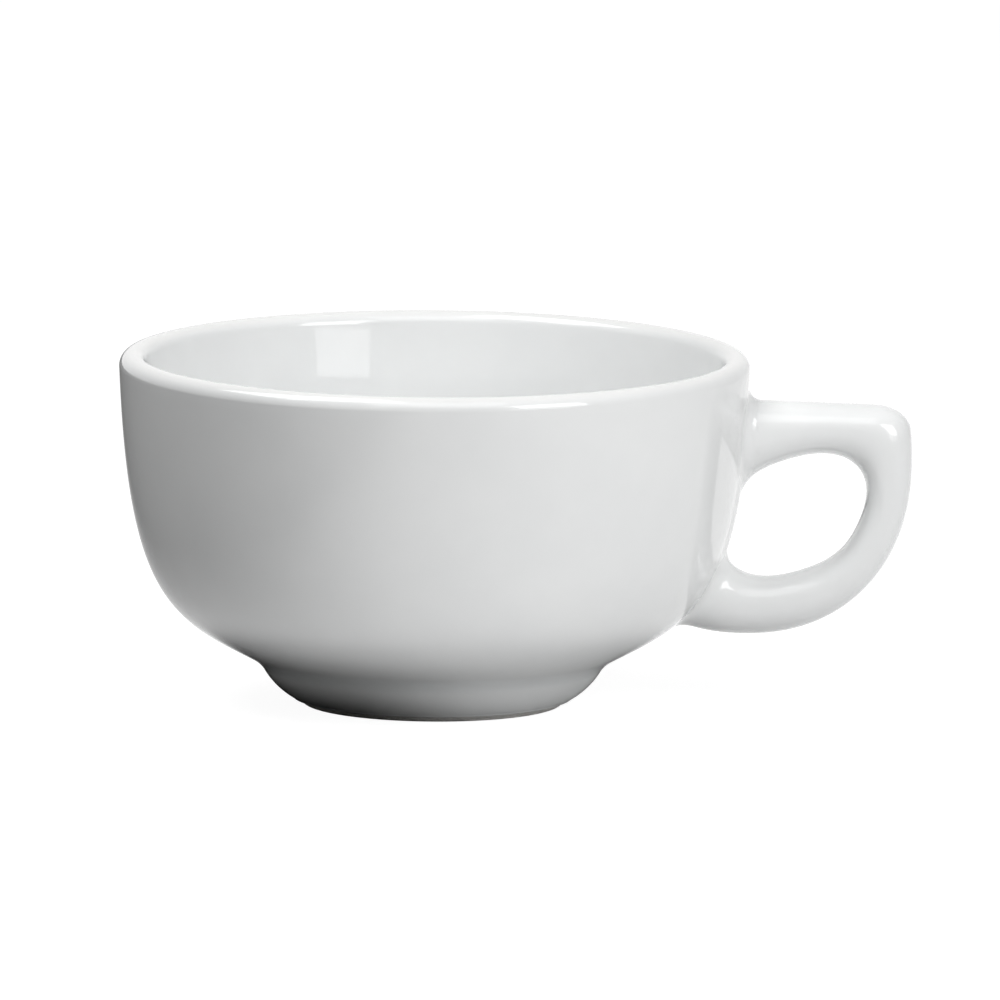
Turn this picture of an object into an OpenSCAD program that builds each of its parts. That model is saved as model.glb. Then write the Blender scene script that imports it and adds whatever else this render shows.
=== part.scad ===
// Cappuccino cup in glazed porcelain: a turned bowl on a turned foot ring, with a cast handle
// stuck on at two slip joints, and a glaze coat over everything but the ring it stands on.
// Millimetres. The cup's axis is Z, the table is z = 0 and the handle points along +X.
// Every outline below is the finished, glazed surface. The clay lies one glaze coat inside it.

/* [Bowl] */
// Outside diameter of the rim
rim_d = 102; // [92:1:115]
// Height from the table to the lip
cup_h = 57; // [52:1:70]
// Thickness of the wall at the lip, glaze included
wall_t = 4.4; // [3.6:0.1:5.4]
// Thickness that the wall gains on its inside, just below the lip
wall_gain = 1; // [0:0.1:1.4]
// Thickness of the floor at the middle, glaze included
floor_t = 6.2; // [4.8:0.1:7.6]
// Height of the floor's middle above the top of the foot
floor_over_foot = 2.9; // [2.2:0.1:4]
// Lean of the wall just below the lip, in degrees
wall_lean = 2.5; // [0.5:0.1:5]
// Rise of the bowl's underside where it leaves the foot, in degrees
under_rise = 28.3; // [22:0.1:34]

/* [Foot] */
// Diameter of the foot where it meets the bowl
foot_top_d = 56; // [50:0.1:62]
// Diameter of the foot at the table
foot_base_d = 39.6; // [35:0.1:45]
// Height of the foot
foot_h = 6.9; // [5.8:0.1:8.6]
// Bulge of the foot's side out of a straight taper
foot_bulge = 1.2; // [0.4:0.1:1.5]
// Width of the ring that stands on the table, its rounded edges included
foot_land = 3.2; // [2.4:0.1:5]
// Radius on the edges of that ring
foot_edge_r = 0.6; // [0.3:0.1:0.9]

/* [Handle] */
// Reach of the handle beyond the rim
handle_reach = 26.3; // [23:0.1:32]
// Drop from the lip to the top of the handle, at the rim's radius
handle_drop = 7.2; // [5:0.1:10]
// Height of the handle's lowest point above the table
handle_lift = 11.8; // [10:0.1:14]
// Fall of the handle's top towards its tip, in degrees
top_fall = 1.9; // [0:0.1:7]
// Length over which the top of the handle rounds into its outer sweep
corner_blend = 6.4; // [2:0.1:9]
// Width of the outer sweep from its middle to the tip
sweep_reach = 26.8; // [22:0.1:32]
// Height of the outer sweep from its middle to its lowest point
sweep_drop = 28.6; // [24:0.1:33]
// Depth of the handle at the tip, from side to side
tip_depth = 10.6; // [8:0.1:14]
// Depth of the handle behind its roots, from side to side
root_depth = 13; // [10:0.1:16]

/* [Finger hole] */
// Thickness of the upper limb above the hole
upper_limb_t = 8.7; // [7:0.1:11]
// Thickness of the limb between the hole and the tip
side_limb_t = 7.6; // [6:0.1:9]
// Thickness of the lower limb below the hole
lower_limb_t = 9.4; // [7:0.1:11]
// How far the hole's outline runs in behind the rim's radius
hole_bite = 4.1; // [3.4:0.1:5]
// Slant of the hole: 0 is level, 1 runs from corner to corner of its box
hole_slant = 0.31; // [0.2:0.01:0.5]
// Fullness of the hole's corners, as a share over a plain ellipse
hole_fullness = 0.05; // [0:0.01:0.08]

/* [Slip joints] */
// Radius of the slip fillet between the handle and the bowl
fillet_r = 2.2; // [1.2:0.1:2.8]

/* [Glaze] */
// Thickness of the glaze coat
glaze_t = 0.3; // [0.2:0.05:0.45]
// Height above the table at which the glaze on the foot stops
glaze_stop = 1; // [0.7:0.1:1.8]

/* [Hidden] */
$fn = 96;

// Shares that shape the turned curves: how far each end of a curve runs straight
wall_pull_share = 0.83;
under_pull_share = 0.682;
dish_edge_pull_share = 0.24;
dish_middle_pull_share = 0.5;
// Place on the wall's curve, as a share of it, where the inside leaves it for the floor
dish_start_share = 0.8;
// Place on the wall's curve, as a share of it, by which the wall has gained its thickness
gain_end_share = 0.11;
// Places of the rings on a cap, as shares of its outline
cap_shares = [1 / 3, 2 / 3];

// Counts of points along the curves and round the handle
wall_steps = 40;
dish_steps = 10;
lip_steps = 12;
foot_steps = 10;
edge_steps = 4;
rib_steps = 48;
rib_sides = 24;
fillet_steps = 4;
meet_steps = 18;

// Powers of the handle's rounded section and of its outer sweep: 2 is an ellipse, more is squarer
section_power = 2.3;
sweep_power = 2.2;
// Direction, seen from the hole's centre, that points in at the bowl, in degrees
inward_angle = 185;
// Places along the handle: in the bowl above, in the bowl below and at the tip
UPPER = 0;
LOWER = 1;
TIP = 0.5;

// Overrun of the tools that cut the windows in the outer glaze
overrun = fillet_r;

// Lip, a half round of the wall's thickness
rim_r = rim_d / 2;
lip_r = wall_t / 2;
lip_centre = [rim_r - lip_r, cup_h - lip_r];

// Control points of the bowl's outside, from the lip down to the crease above the foot
crease = [foot_top_d / 2, foot_h];
wall_top = lip_centre + lip_r * [cos(wall_lean), -sin(wall_lean)];
wall_pull = wall_pull_share * (wall_top[1] - crease[1]);
under_pull = under_pull_share * (wall_top[0] - crease[0]);
wall_curve = [
    wall_top,
    wall_top - wall_pull * [sin(wall_lean), cos(wall_lean)],
    crease + under_pull * [cos(under_rise), sin(under_rise)],
    crease
];

// Lean of the inside just below the lip, where the wall gains thickness fastest
inner_lean = wall_lean + atan(2 * wall_gain / gain_end_share / (3 * wall_pull));

// Floor and well
floor_z = foot_h + floor_over_foot;
well_top = floor_z - floor_t;
well_r = foot_base_d / 2 - foot_land;
ring_bore_r = well_r + glaze_t;

// Where the clay of the bowl sits on the foot ring
clay_crease = crease + glaze_t * [-sin(under_rise), cos(under_rise)];
seat_z = clay_crease[1];

// Handle: its top, its outer sweep and the box round its hole
handle_top = cup_h - handle_drop;
tip_x = rim_r + handle_reach;
sweep_centre = [tip_x - sweep_reach, handle_lift + sweep_drop];
hole_right = tip_x - side_limb_t;
hole_left = rim_r - hole_bite;
hole_top = handle_top - upper_limb_t;
hole_bottom = handle_lift + lower_limb_t;
hole_centre = [(hole_left + hole_right) / 2, (hole_bottom + hole_top) / 2];
hole_half_w = (hole_right - hole_left) / 2;
hole_half_h = (hole_top - hole_bottom) / 2;

// Curves

function bezier(p, t) =
    (1 - t) ^ 3 * p[0] + 3 * (1 - t) ^ 2 * t * p[1] + 3 * (1 - t) * t ^ 2 * p[2] + t ^ 3 * p[3];

function bezier_way(p, t) =
    (1 - t) ^ 2 * (p[1] - p[0]) + 2 * (1 - t) * t * (p[2] - p[1]) + t ^ 2 * (p[3] - p[2]);

// Unit vector out of the clay, for a way that runs down the outside
function outward(way) = [-way[1], way[0]] / norm(way);

function mix(a, b, share) = a + (b - a) * share;

function reversed(list) = [for (i = [len(list) - 1:-1:0]) list[i]];

// Lesser of two lengths, rounded over where they are close
function rounded_min(a, b, blend) = min(a, b) - max(blend - abs(a - b), 0) ^ 2 / (4 * blend);

// Outlines of the bowl, each a given depth inside the finished outside

function wall_point(t, depth) = bezier(wall_curve, t) - depth * outward(bezier_way(wall_curve, t));

function wall_line(depth) = [for (i = [0:wall_steps]) wall_point(i / wall_steps, depth)];

// Arc of the lip from one angle to another, a given depth inside the glaze
function lip_line(depth, from, to) = [
    for (i = [0:lip_steps])
        let (a = mix(from, to, i / lip_steps))
            lip_centre + (lip_r - depth) * [cos(a), sin(a)]
];

// Thickness of the wall at a place on its curve
function thickness(t) = wall_t + wall_gain * (1 - max(1 - t / gain_end_share, 0) ^ 2);

// Point on the inside of the wall, a given depth under the glaze
function inside_point(t, depth) = wall_point(t, thickness(t) - depth);

// Dish of the floor from the foot of the wall to the axis, a given depth under the glaze
function dish_line(depth) =
    let (edge = inside_point(dish_start_share, depth))
    let (way = bezier_way(wall_curve, dish_start_share))
    let (middle = [0, floor_z - depth])
    let (curve = [
        edge,
        edge + dish_edge_pull_share * edge[0] * way / norm(way),
        middle + [dish_middle_pull_share * edge[0], 0],
        middle
    ])
    [for (i = [1:dish_steps]) bezier(curve, i / dish_steps)];

// Inside of the bowl from the lip to the axis, a given depth under the glaze
function inside_line(depth) = concat(
    [for (i = [1:wall_steps]) inside_point(dish_start_share * i / wall_steps, depth)],
    dish_line(depth)
);

// Side of the foot: radius at a height, on an arc that bulges from base to top

function foot_side_r(z, base, top) =
    let (chord = top - base, l = norm(chord))
    let (arc_r = (l ^ 2 / 4 + foot_bulge ^ 2) / (2 * foot_bulge))
    let (centre = (base + top) / 2 - (arc_r - foot_bulge) * [chord[1], -chord[0]] / l)
    centre[0] + sqrt(arc_r ^ 2 - (z - centre[1]) ^ 2);

function glazed_foot_r(z) = foot_side_r(z, [foot_base_d / 2, 0], crease);

function clay_foot_r(z) = foot_side_r(z, [foot_base_d / 2 - glaze_t, 0], clay_crease);

// Outside of the bowl by height, which the handle's ends follow

wall_r_table = [for (p = wall_line(0)) [p[1], p[0]]];
wall_lean_table = [
    for (i = [0:wall_steps])
        let (way = bezier_way(wall_curve, i / wall_steps))
            [wall_point(i / wall_steps, 0)[1], atan(way[0] / way[1])]
];

function lean_at(z) = lookup(z, wall_lean_table);

function bowl_r(z, depth) = lookup(z, wall_r_table) - depth / cos(lean_at(z));

// Distance of a point out from the bowl's surface at a given depth
function clearance(p, depth) = (norm([p[0], p[1]]) - bowl_r(p[2], depth)) * cos(lean_at(p[2]));

// The same point moved level with the axis until it is a given distance off that surface
function settled(p, depth, distance) =
    let (r = bowl_r(p[2], depth) + distance / cos(lean_at(p[2])), a = atan2(p[1], p[0]))
        [r * cos(a), r * sin(a), p[2]];

// Handle: its outlines as distances from the hole's centre, by direction

// The hole is a slanted ellipse that just fits its box, a little fuller towards the box's corners
function hole_distance(a) =
    let (x = cos(a) / hole_half_w, z = sin(a) / hole_half_h)
    let (fuller = 1 + hole_fullness * sin(2 * atan2(z, x)) ^ 2)
        fuller * sqrt((1 - hole_slant ^ 2) / (x ^ 2 + z ^ 2 - 2 * hole_slant * x * z));

// Whether a point at a distance in a direction lies inside the outer sweep
function in_sweep(a, d) =
    let (x = (hole_centre[0] + d * cos(a) - sweep_centre[0]) / sweep_reach)
    let (z = (hole_centre[1] + d * sin(a) - sweep_centre[1]) / sweep_drop)
        abs(x) ^ sweep_power + abs(z) ^ sweep_power < 1;

// Distance to the outer sweep, closed in on from both sides
function sweep_distance(a, near = 0, far = rim_d, steps = meet_steps) =
    let (middle = (near + far) / 2)
        steps == 0 ? middle
        : in_sweep(a, middle)
            ? sweep_distance(a, middle, far, steps - 1)
            : sweep_distance(a, near, middle, steps - 1);

// The top is met only by directions that climb to it: all others take a length past the sweep
function top_distance(a) =
    let (rise = handle_top - hole_centre[1] - tan(top_fall) * (hole_centre[0] - rim_r))
    let (climb = sin(a) + tan(top_fall) * cos(a))
        climb > rise / rim_d ? rise / climb : rim_d;

function outline_distance(a) = rounded_min(top_distance(a), sweep_distance(a), corner_blend);

// Signed power, which squares off the rounded section
function squared(x) = sign(x) * abs(x) ^ (2 / section_power);

// Point on the handle's surface: u runs along it from the bowl and back, v runs round it
function handle_point(u, v, depth) =
    let (a = inward_angle - 360 * u)
    let (outer = outline_distance(a), inner = hole_distance(a))
    let (half = (outer - inner) / 2 - depth)
    let (half_depth = mix(tip_depth, root_depth, (2 * abs(u - TIP)) ^ 2) / 2 - depth)
    let (d = (outer + inner) / 2 + half * squared(cos(v)))
        [
            hole_centre[0] + d * cos(a),
            half_depth * squared(sin(v)),
            hole_centre[1] + d * sin(a)
        ];

// Place u at which a line along the handle comes a given distance off the bowl
function meeting(v, depth, distance, inside, outside, steps = meet_steps) =
    let (middle = (inside + outside) / 2)
        steps == 0 ? middle
        : clearance(handle_point(middle, v, depth), depth) < distance
            ? meeting(v, depth, distance, middle, outside, steps - 1)
            : meeting(v, depth, distance, inside, middle, steps - 1);

function side_angle(i) = 360 * i / rib_sides;

// Fillet radius at a depth: a hollow curve is wider under its coat
function fillet_at(depth) = fillet_r + depth;

// Rings along the handle between its two joints
function handle_rings(depth) =
    let (ends = [
        for (i = [0:rib_sides - 1])
            [for (end = [UPPER, LOWER]) meeting(side_angle(i), depth, fillet_at(depth), end, TIP)]
    ])
    [
        for (k = [0:rib_steps])
            [
                for (i = [0:rib_sides - 1])
                    handle_point(mix(ends[i][0], ends[i][1], k / rib_steps), side_angle(i), depth)
            ]
    ];

// Ring of the fillet at one end: share 0 is on the handle and share 1 on the bowl
function free_fillet_ring(end, depth, share) =
    let (distance = fillet_at(depth) * (1 - sin(90 * share)))
    let (spread = fillet_at(depth) * (1 - cos(90 * share)))
    [
        for (i = [0:rib_sides - 1])
            let (v = side_angle(i), u = meeting(v, depth, distance, end, TIP))
            let (p = handle_point(u, v, depth), turn = atan2(p[1], p[0]), lean = lean_at(p[2]))
            let (up = [sin(lean) * cos(turn), sin(lean) * sin(turn), cos(lean)])
            let (along = [-sin(turn), cos(turn), 0])
            let (way = (end == UPPER ? 1 : -1) * cos(v) * up + sin(v) * along)
                settled(p + spread * way, depth, distance)
    ];

// Edge of the fillet on the bowl, straight under the edge of the glazed one
function fillet_edge(end, depth) =
    [for (p = free_fillet_ring(end, 0, 1)) settled(p, depth, 0)];

function fillet_rings(end, depth) =
    let (shift = fillet_edge(end, depth) - free_fillet_ring(end, depth, 1))
    [for (k = [0:fillet_steps]) free_fillet_ring(end, depth, k / fillet_steps) + shift * k / fillet_steps];

// Middle of a ring, on the bowl's surface or a given distance off it
function cap_middle(ring, depth, distance) =
    settled([for (p = ring) 1] * ring / len(ring), depth, distance);

// Rings that close the end of a handle or joint to the bowl's own curve, from the middle out
function cap_rings(ring, depth, distance) =
    let (middle = cap_middle(ring, depth, distance))
        [for (s = cap_shares) [for (p = ring) settled(mix(middle, p, s), depth, distance)]];

// Solids made of rings of points

function ring_faces(count, sides, closed) = [
    for (k = [0:count - (closed ? 1 : 2)], i = [0:sides - 1])
        let (j = (i + 1) % sides, a = k * sides, b = ((k + 1) % count) * sides)
            each [[a + i, a + j, b + i], [a + j, b + j, b + i]]
];

// A rod: rings in line, closed to a point at each end
module rod(rings, first, last) {
    sides = len(rings[0]);
    count = len(rings);
    points = concat([for (r = rings) each r], [first, last]);
    tip = count * sides;
    ends = [
        for (i = [0:sides - 1])
            let (j = (i + 1) % sides)
                each [[tip, j, i], [tip + 1, tip - sides + i, tip - sides + j]]
    ];
    polyhedron(points, concat(ring_faces(count, sides, false), ends), convexity = 6);
}

// A sleeve: rings that run out along the outside and back along the inside
module sleeve(outside, inside) {
    rings = concat(outside, reversed(inside));
    polyhedron(
        [for (r = rings) each r],
        ring_faces(len(rings), len(rings[0]), true),
        convexity = 6
    );
}

// Sub-parts

// Bowl: wall, round lip and floor, with a boss under the floor that centres the foot ring
module bowl() {
    color("whitesmoke")
    rotate_extrude()
    polygon(concat(
        wall_line(glaze_t),
        [[ring_bore_r, seat_z], [ring_bore_r, well_top + glaze_t], [0, well_top + glaze_t]],
        reversed(inside_line(glaze_t)),
        lip_line(glaze_t, 180 - inner_lean, -wall_lean)
    ));
}

// Foot ring: bare at the bottom, where it stands on the table
module foot_ring() {
    side_r = clay_foot_r(foot_edge_r);
    outer_edge = [
        for (i = [0:edge_steps])
            let (a = 90 * i / edge_steps)
                [side_r - foot_edge_r * (1 - sin(a)), foot_edge_r * (1 - cos(a))]
    ];
    inner_edge = [for (p = outer_edge) [ring_bore_r + side_r - p[0], p[1]]];
    side = [
        for (i = [1:foot_steps])
            let (z = mix(foot_edge_r, seat_z, i / foot_steps))
                [clay_foot_r(z), z]
    ];
    color("linen")
    rotate_extrude()
    polygon(concat([[ring_bore_r, seat_z]], reversed(inner_edge), outer_edge, side));
}

// Handle: cast in one, with ends that follow the bowl at the slip joints
module handle() {
    rings = handle_rings(glaze_t);
    upper = rings[0];
    lower = rings[rib_steps];
    distance = fillet_at(glaze_t);
    color("whitesmoke")
    rod(
        concat(
            cap_rings(upper, glaze_t, distance),
            rings,
            reversed(cap_rings(lower, glaze_t, distance))
        ),
        cap_middle(upper, glaze_t, distance),
        cap_middle(lower, glaze_t, distance)
    );
}

// Slip joint: the layer and fillet of slip that holds one end of the handle on the bowl
module slip_joint(end) {
    rings = fillet_rings(end, glaze_t);
    inner = rings[0];
    edge = rings[fillet_steps];
    distance = fillet_at(glaze_t);
    whole = concat(
        cap_rings(inner, glaze_t, distance),
        rings,
        reversed(cap_rings(edge, glaze_t, 0))
    );
    first = cap_middle(inner, glaze_t, distance);
    last = cap_middle(edge, glaze_t, 0);
    color("antiquewhite")
    if (end == UPPER)
        rod(reversed(whole), last, first);
    else
        rod(whole, first, last);
}

module upper_slip_joint() {
    slip_joint(UPPER);
}

module lower_slip_joint() {
    slip_joint(LOWER);
}

// Glaze lining of the bowl, from the crest of the lip to the middle of the floor
module inner_glaze() {
    color("white")
    rotate_extrude()
    polygon(concat(
        lip_line(0, 90, 180 - inner_lean),
        inside_line(0),
        reversed(inside_line(glaze_t)),
        lip_line(glaze_t, 180 - inner_lean, 90)
    ));
}

// Plug as wide as a joint's edge, which leaves the bowl bare under the joint
module joint_window(end) {
    edge = fillet_edge(end, 0);
    below = -glaze_t - overrun;
    rings = [for (distance = [below, overrun]) [for (p = edge) settled(p, 0, distance)]];
    middles = [for (distance = [below, overrun]) cap_middle(edge, 0, distance)];
    if (end == UPPER)
        rod(rings, middles[0], middles[1]);
    else
        rod(reversed(rings), middles[1], middles[0]);
}

// Glaze on the outside of the bowl, from the crest of the lip to the crease above the foot
module outer_glaze() {
    color("white")
    difference() {
        rotate_extrude()
        polygon(concat(
            lip_line(0, 90, -wall_lean),
            wall_line(0),
            reversed(wall_line(glaze_t)),
            lip_line(glaze_t, -wall_lean, 90)
        ));
        joint_window(UPPER);
        joint_window(LOWER);
    }
}

// Glaze on the handle and over its slip joints
module handle_glaze() {
    skins = [
        for (depth = [0, glaze_t])
            let (middle = handle_rings(depth))
                concat(
                    reversed(fillet_rings(UPPER, depth)),
                    [for (k = [1:rib_steps - 1]) middle[k]],
                    fillet_rings(LOWER, depth)
                )
    ];
    color("white")
    sleeve(skins[0], skins[1]);
}

// Glaze on the side of the foot, stopped short of the table
module foot_glaze() {
    heights = [for (i = [0:foot_steps]) mix(glaze_stop, foot_h, i / foot_steps)];
    clay_heights = [for (i = [0:foot_steps]) mix(glaze_stop, seat_z, i / foot_steps)];
    color("white")
    rotate_extrude()
    polygon(concat(
        [for (z = heights) [glazed_foot_r(z), z]],
        [for (z = reversed(clay_heights)) [clay_foot_r(z), z]]
    ));
}

// Glaze in the well under the floor, stopped short of the table
module well_glaze() {
    color("white")
    rotate_extrude()
    polygon([
        [0, well_top],
        [well_r, well_top],
        [well_r, glaze_stop],
        [ring_bore_r, glaze_stop],
        [ring_bore_r, well_top + glaze_t],
        [0, well_top + glaze_t]
    ]);
}

bowl();
foot_ring();
handle();
upper_slip_joint();
lower_slip_joint();
inner_glaze();
outer_glaze();
handle_glaze();
foot_glaze();
well_glaze();
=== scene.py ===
"""White porcelain cappuccino cup, dressed for a studio picture.

The cup is clay under glass: a turned bowl on a turned foot ring, a cast handle stuck on with slip,
and a coat of white glaze over all but the ring that it stands on. Every outline here repeats the
part's own sizes, in metres, so each piece lies where its solid does.
"""

import logging
import math
from dataclasses import dataclass, field
from enum import Enum
from typing import Any, Optional, Sequence, Union

import bmesh
import bpy
import numpy as np
from mathutils import Matrix, Vector


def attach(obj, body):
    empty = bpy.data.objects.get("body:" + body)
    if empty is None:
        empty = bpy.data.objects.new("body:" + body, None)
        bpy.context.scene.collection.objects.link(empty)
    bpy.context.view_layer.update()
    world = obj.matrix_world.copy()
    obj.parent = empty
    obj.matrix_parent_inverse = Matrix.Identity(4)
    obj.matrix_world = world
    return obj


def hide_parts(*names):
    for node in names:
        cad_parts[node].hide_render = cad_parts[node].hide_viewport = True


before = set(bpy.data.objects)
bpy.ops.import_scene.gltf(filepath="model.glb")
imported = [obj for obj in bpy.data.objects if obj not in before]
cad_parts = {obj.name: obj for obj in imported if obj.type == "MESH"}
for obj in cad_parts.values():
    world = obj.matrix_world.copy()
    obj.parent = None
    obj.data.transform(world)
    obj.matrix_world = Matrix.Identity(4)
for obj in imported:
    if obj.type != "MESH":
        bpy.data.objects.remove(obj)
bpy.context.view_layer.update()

LOG = logging.getLogger("cup")
MM = 0.001
BODY = "root"
PHOTO_SIDE_PX = 1000
MERGE_DISTANCE = 0.0005 * MM

Number = Union[float, int]
Colour = tuple[float, float, float]
Point = tuple[float, float, float]
Span = tuple[float, float]


class Slot(Enum):
    """The record's material slots."""

    CLAY = "clay"
    BARE_FOOT = "bare_foot"
    SLIP = "slip"
    GLAZE = "glaze"


class End(Enum):
    """The two ends of the handle, by the place on its length that lies inside the bowl."""

    UPPER = 0.0
    LOWER = 1.0


# Shader maths


class Sum:
    """A socket that can be used in Python sums, in the shader that it belongs to."""

    def __init__(self, shader: "Shader", socket: bpy.types.NodeSocket) -> None:
        """Keep the shader and the socket.

        Args:
            shader: The shader that the socket belongs to.
            socket: The output that the sum starts from.
        """
        self.shader = shader
        self.socket = socket

    def _math(self, operation: str, *terms: Union["Sum", Number]) -> "Sum":
        """Add one Math node.

        Args:
            operation: The node's operation.
            terms: Its inputs in order.

        Returns:
            The node's result.
        """
        made = self.shader.node("Math", {"operation": operation})
        for socket, term in zip(made.inputs, terms):
            self.shader.put(socket, term)
        return self.shader.sum(made.outputs[0])

    def __add__(self, other: Union["Sum", Number]) -> "Sum":
        """Return this plus another."""
        return self._math("ADD", self, other)

    __radd__ = __add__

    def __sub__(self, other: Union["Sum", Number]) -> "Sum":
        """Return this less another."""
        return self._math("SUBTRACT", self, other)

    def __rsub__(self, other: Number) -> "Sum":
        """Return a number less this."""
        return self._math("SUBTRACT", other, self)

    def __mul__(self, other: Union["Sum", Number]) -> "Sum":
        """Return this times another."""
        return self._math("MULTIPLY", self, other)

    __rmul__ = __mul__

    def __truediv__(self, other: Union["Sum", Number]) -> "Sum":
        """Return this over another."""
        return self._math("DIVIDE", self, other)

    def __pow__(self, other: Number) -> "Sum":
        """Return this to a power."""
        return self._math("POWER", self, other)

    def most(self, other: Union["Sum", Number]) -> "Sum":
        """Return the greater of this and another."""
        return self._math("MAXIMUM", self, other)

    def ramp(self, low: float, high: float) -> "Sum":
        """Return a smooth step from 0 at low to 1 at high.

        Args:
            low: The value that gives 0.
            high: The value that gives 1.

        Returns:
            The eased step.
        """
        eased = {"interpolation_type": "SMOOTHSTEP"}
        made = self.shader.node("MapRange", eased, Value=self, From_Min=low, From_Max=high)
        return self.shader.sum(made.outputs["Result"])


class Shader:
    """A material's or world's node tree, with one method that makes any node in it."""

    def __init__(self, owner: Union[bpy.types.Material, bpy.types.World]) -> None:
        """Start an empty tree.

        Args:
            owner: The material or world that the tree belongs to.
        """
        owner.use_nodes = True
        self.tree = owner.node_tree
        self.tree.nodes.clear()
        self.end = "OutputWorld" if isinstance(owner, bpy.types.World) else "OutputMaterial"

    def node(self, kind: str, settings: Optional[dict[str, Any]] = None, **values: Any) -> bpy.types.Node:
        """Make one node.

        Args:
            kind: The node's type without the ShaderNode in front.
            settings: The node's own settings, set before its sockets.
            values: The value, link or sum of each socket, with an underscore for each space.

        Returns:
            The node.
        """
        made = self.tree.nodes.new("ShaderNode" + kind)
        for name, value in (settings or {}).items():
            setattr(made, name, value)
        for name, value in values.items():
            self.put(self._input(made, name.replace("_", " ")), value)
        return made

    @staticmethod
    def _input(made: bpy.types.Node, name: str) -> bpy.types.NodeSocket:
        """Return the enabled input of that name, because a Mix node has several of each."""
        return next(s for s in made.inputs if s.name == name and s.enabled)

    def put(self, socket: bpy.types.NodeSocket, value: Any) -> None:
        """Give an input its value, link or sum.

        Args:
            socket: The input.
            value: A number, a colour, an output or a sum.
        """
        if isinstance(value, Sum):
            self.tree.links.new(value.socket, socket)
        elif isinstance(value, bpy.types.NodeSocket):
            self.tree.links.new(value, socket)
        elif isinstance(value, tuple) and socket.type == "RGBA":
            socket.default_value = (*value, 1.0)
        else:
            socket.default_value = value

    def sum(self, socket: bpy.types.NodeSocket) -> Sum:
        """Return a socket that can be used in sums."""
        return Sum(self, socket)

    def place(self) -> bpy.types.NodeSocket:
        """Return the point on the piece, in Object coordinates."""
        return self.node("TexCoord").outputs["Object"]

    def noise(self, place: bpy.types.NodeSocket, scale: float, detail: float = 2.0) -> Sum:
        """Make a noise.

        Args:
            place: The point to read it at.
            scale: Its waves in a metre.
            detail: How many finer layers it has.

        Returns:
            Its value, about 0.5 on average.
        """
        made = self.node("TexNoise", Vector=place, Scale=scale, Detail=detail)
        return self.sum(made.outputs[0])

    def blend(self, share: Sum, first: Any, second: Any) -> bpy.types.NodeSocket:
        """Mix two colours.

        Args:
            share: 0 for the first and 1 for the second.
            first: A colour or a link.
            second: A colour or a link.

        Returns:
            The mixed colour.
        """
        made = self.node("Mix", {"data_type": "RGBA"}, Factor=share, A=first, B=second)
        return next(s for s in made.outputs if s.enabled)

    def grey(self, value: Sum) -> bpy.types.NodeSocket:
        """Return a grey of that value."""
        return self.node("CombineColor", Red=value, Green=value, Blue=value).outputs[0]

    def rays(self) -> list[Sum]:
        """Return 1 for camera rays, then for glossy rays, then for transmission rays."""
        path = self.node("LightPath").outputs
        return [self.sum(path[name]) for name in ("Is Camera Ray", "Is Glossy Ray", "Is Transmission Ray")]

    def join(self, kind: str, *surfaces: bpy.types.Node, **values: Any) -> bpy.types.Node:
        """Make a node that adds or mixes two surfaces.

        Args:
            kind: The node's type without the ShaderNode in front.
            surfaces: The nodes of the two surfaces.
            values: The value, link or sum of each other socket.

        Returns:
            The node.
        """
        made = self.node(kind, **values)
        sockets = [socket for socket in made.inputs if socket.type == "SHADER"]
        for socket, surface in zip(sockets, surfaces):
            self.put(socket, surface.outputs[0])
        return made

    def out(self, surface: bpy.types.NodeSocket) -> None:
        """Send a surface to the tree's output."""
        self.node(self.end, Surface=surface)


# Finishes


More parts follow.
